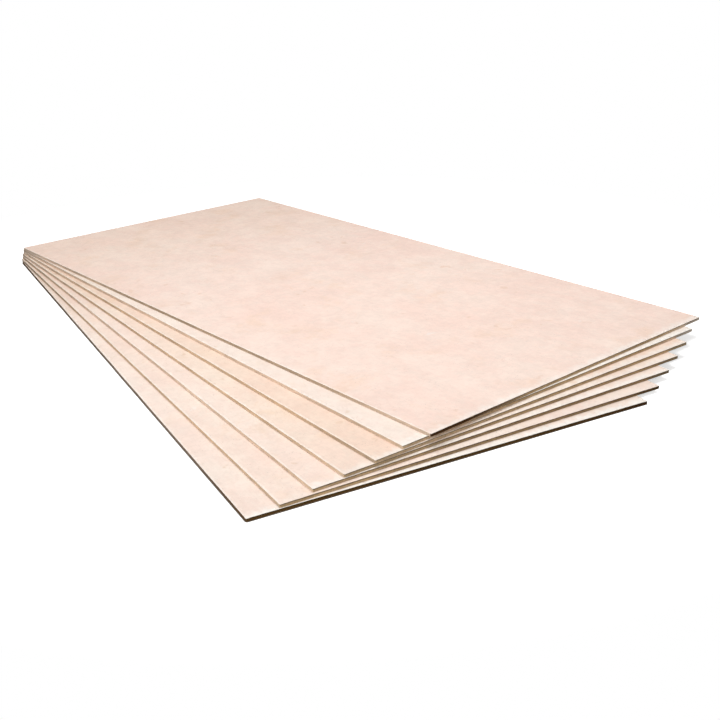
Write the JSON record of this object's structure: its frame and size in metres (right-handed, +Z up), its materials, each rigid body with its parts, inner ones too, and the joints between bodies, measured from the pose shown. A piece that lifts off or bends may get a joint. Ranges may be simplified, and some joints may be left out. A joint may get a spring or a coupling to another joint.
{
  "type": "stack of fibre cement boards",
  "caption": "Stack of flat rectangular fibre cement sheets, lying face to face and fanned out about one corner, each turned a little from the one below.",
  "frame": {"origin": "middle of the stack's bounding box, on the floor under the bottom board", "axes": "+X along the long edges of the bottom board, +Y along its short edges, +Z up through the stack"},
  "size_m": [2.6856, 1.7204, 0.07],
  "materials": {
    "fibre_cement": "matte"
  },
  "bodies": {
    "root": {"board_1": "fibre_cement", "board_2": "fibre_cement", "board_3": "fibre_cement", "board_4": "fibre_cement", "board_5": "fibre_cement", "board_6": "fibre_cement", "board_7": "fibre_cement"}
  },
  "joints": []
}
